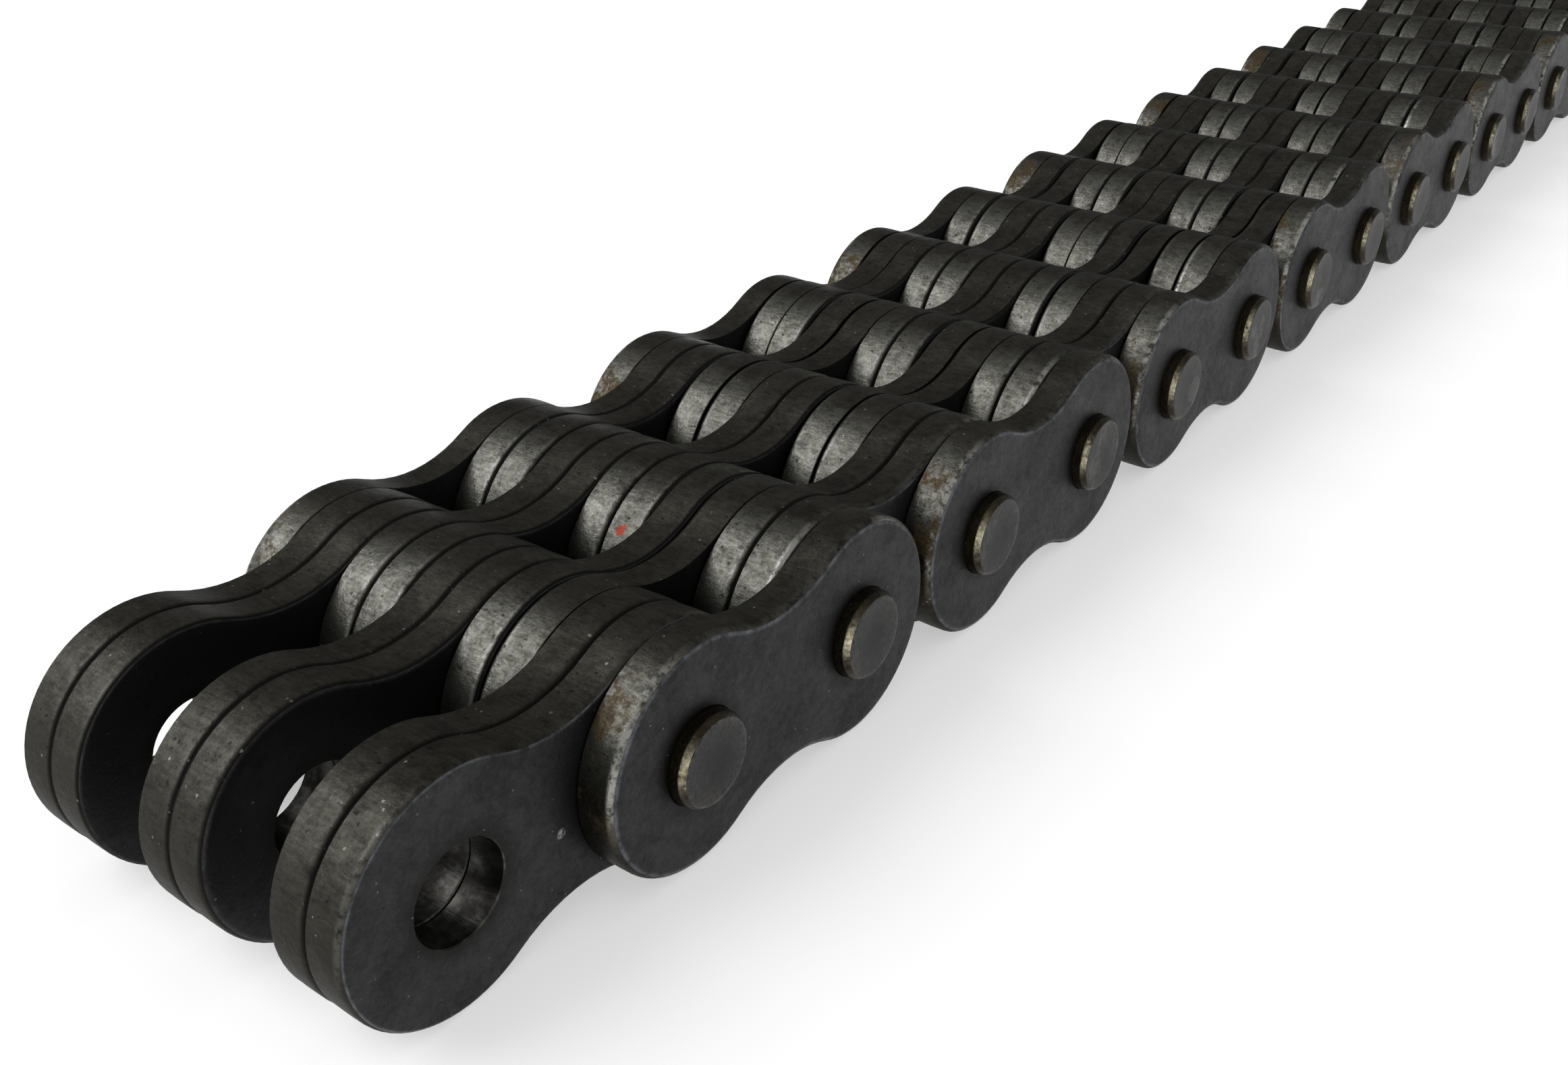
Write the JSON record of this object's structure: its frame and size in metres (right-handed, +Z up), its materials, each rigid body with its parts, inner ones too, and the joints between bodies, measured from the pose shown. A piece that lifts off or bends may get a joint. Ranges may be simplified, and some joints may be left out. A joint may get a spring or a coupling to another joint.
{
  "type": "leaf chain",
  "caption": "Heavy lifting leaf chain: waisted steel plates laced in paired rows on riveted cross pins, free to fold both ways, with open slotted eyes at both ends.",
  "frame": {"origin": "centre of the first eye, on its pin axis and midway across the chain", "axes": "+X along the straight chain from the first eye to the last, +Y along the pins towards the left side, +Z up"},
  "size_m": [0.456, 0.0544, 0.0242],
  "materials": {
    "inner_plate_steel": "oil-blackened, blanked edges worn to grey",
    "outer_plate_steel": "oil-blackened satin with a bright rolled edge",
    "pin_steel": "straw-coloured hardened steel with dark end faces"
  },
  "bodies": {
    "link_01": {"link_01_right_pair": "inner_plate_steel", "link_01_centre_pair": "inner_plate_steel", "link_01_left_pair": "inner_plate_steel"},
    "link_02": {"link_02_right_plate": "outer_plate_steel", "link_02_middle_pairs": "inner_plate_steel", "link_02_left_plate": "outer_plate_steel", "link_02_pins": "pin_steel"},
    "link_03": {"link_03_right_pair": "inner_plate_steel", "link_03_centre_pair": "inner_plate_steel", "link_03_left_pair": "inner_plate_steel"},
    "link_04": {"link_04_right_plate": "outer_plate_steel", "link_04_middle_pairs": "inner_plate_steel", "link_04_left_plate": "outer_plate_steel", "link_04_pins": "pin_steel"},
    "link_05": {"link_05_right_pair": "inner_plate_steel", "link_05_centre_pair": "inner_plate_steel", "link_05_left_pair": "inner_plate_steel"},
    "link_06": {"link_06_right_plate": "outer_plate_steel", "link_06_middle_pairs": "inner_plate_steel", "link_06_left_plate": "outer_plate_steel", "link_06_pins": "pin_steel"},
    "link_07": {"link_07_right_pair": "inner_plate_steel", "link_07_centre_pair": "inner_plate_steel", "link_07_left_pair": "inner_plate_steel"},
    "link_08": {"link_08_right_plate": "outer_plate_steel", "link_08_middle_pairs": "inner_plate_steel", "link_08_left_plate": "outer_plate_steel", "link_08_pins": "pin_steel"},
    "link_09": {"link_09_right_pair": "inner_plate_steel", "link_09_centre_pair": "inner_plate_steel", "link_09_left_pair": "inner_plate_steel"},
    "link_10": {"link_10_right_plate": "outer_plate_steel", "link_10_middle_pairs": "inner_plate_steel", "link_10_left_plate": "outer_plate_steel", "link_10_pins": "pin_steel"},
    "link_11": {"link_11_right_pair": "inner_plate_steel", "link_11_centre_pair": "inner_plate_steel", "link_11_left_pair": "inner_plate_steel"},
    "link_12": {"link_12_right_plate": "outer_plate_steel", "link_12_middle_pairs": "inner_plate_steel", "link_12_left_plate": "outer_plate_steel", "link_12_pins": "pin_steel"},
    "link_13": {"link_13_right_pair": "inner_plate_steel", "link_13_centre_pair": "inner_plate_steel", "link_13_left_pair": "inner_plate_steel"},
    "link_14": {"link_14_right_plate": "outer_plate_steel", "link_14_middle_pairs": "inner_plate_steel", "link_14_left_plate": "outer_plate_steel", "link_14_pins": "pin_steel"},
    "link_15": {"link_15_right_pair": "inner_plate_steel", "link_15_centre_pair": "inner_plate_steel", "link_15_left_pair": "inner_plate_steel"},
    "link_16": {"link_16_right_plate": "outer_plate_steel", "link_16_middle_pairs": "inner_plate_steel", "link_16_left_plate": "outer_plate_steel", "link_16_pins": "pin_steel"},
    "link_17": {"link_17_right_pair": "inner_plate_steel", "link_17_centre_pair": "inner_plate_steel", "link_17_left_pair": "inner_plate_steel"}
  },
  "joints": [
    {"name": "pin_01_hinge", "type": "hinge", "parent": "link_01", "child": "link_02", "pos_m": [0.0254, 0, 0], "axis": [0, 1, 0], "range_deg": [-90, 90]},
    {"name": "pin_02_hinge", "type": "hinge", "parent": "link_02", "child": "link_03", "pos_m": [0.0508, 0, 0], "axis": [0, -1, 0], "range_deg": [-90, 90]},
    {"name": "pin_03_hinge", "type": "hinge", "parent": "link_03", "child": "link_04", "pos_m": [0.0762, 0, 0], "axis": [0, 1, 0], "range_deg": [-90, 90]},
    {"name": "pin_04_hinge", "type": "hinge", "parent": "link_04", "child": "link_05", "pos_m": [0.1016, 0, 0], "axis": [0, -1, 0], "range_deg": [-90, 90]},
    {"name": "pin_05_hinge", "type": "hinge", "parent": "link_05", "child": "link_06", "pos_m": [0.127, 0, 0], "axis": [0, 1, 0], "range_deg": [-90, 90]},
    {"name": "pin_06_hinge", "type": "hinge", "parent": "link_06", "child": "link_07", "pos_m": [0.1524, 0, 0], "axis": [0, -1, 0], "range_deg": [-90, 90]},
    {"name": "pin_07_hinge", "type": "hinge", "parent": "link_07", "child": "link_08", "pos_m": [0.1778, 0, 0], "axis": [0, 1, 0], "range_deg": [-90, 90]},
    {"name": "pin_08_hinge", "type": "hinge", "parent": "link_08", "child": "link_09", "pos_m": [0.2032, 0, 0], "axis": [0, -1, 0], "range_deg": [-90, 90]},
    {"name": "pin_09_hinge", "type": "hinge", "parent": "link_09", "child": "link_10", "pos_m": [0.2286, 0, 0], "axis": [0, 1, 0], "range_deg": [-90, 90]},
    {"name": "pin_10_hinge", "type": "hinge", "parent": "link_10", "child": "link_11", "pos_m": [0.254, 0, 0], "axis": [0, -1, 0], "range_deg": [-90, 90]},
    {"name": "pin_11_hinge", "type": "hinge", "parent": "link_11", "child": "link_12", "pos_m": [0.2794, 0, 0], "axis": [0, 1, 0], "range_deg": [-90, 90]},
    {"name": "pin_12_hinge", "type": "hinge", "parent": "link_12", "child": "link_13", "pos_m": [0.3048, 0, 0], "axis": [0, -1, 0], "range_deg": [-90, 90]},
    {"name": "pin_13_hinge", "type": "hinge", "parent": "link_13", "child": "link_14", "pos_m": [0.3302, 0, 0], "axis": [0, 1, 0], "range_deg": [-90, 90]},
    {"name": "pin_14_hinge", "type": "hinge", "parent": "link_14", "child": "link_15", "pos_m": [0.3556, 0, 0], "axis": [0, -1, 0], "range_deg": [-90, 90]},
    {"name": "pin_15_hinge", "type": "hinge", "parent": "link_15", "child": "link_16", "pos_m": [0.381, 0, 0], "axis": [0, 1, 0], "range_deg": [-90, 90]},
    {"name": "pin_16_hinge", "type": "hinge", "parent": "link_16", "child": "link_17", "pos_m": [0.4064, 0, 0], "axis": [0, -1, 0], "range_deg": [-90, 90]}
  ]
}
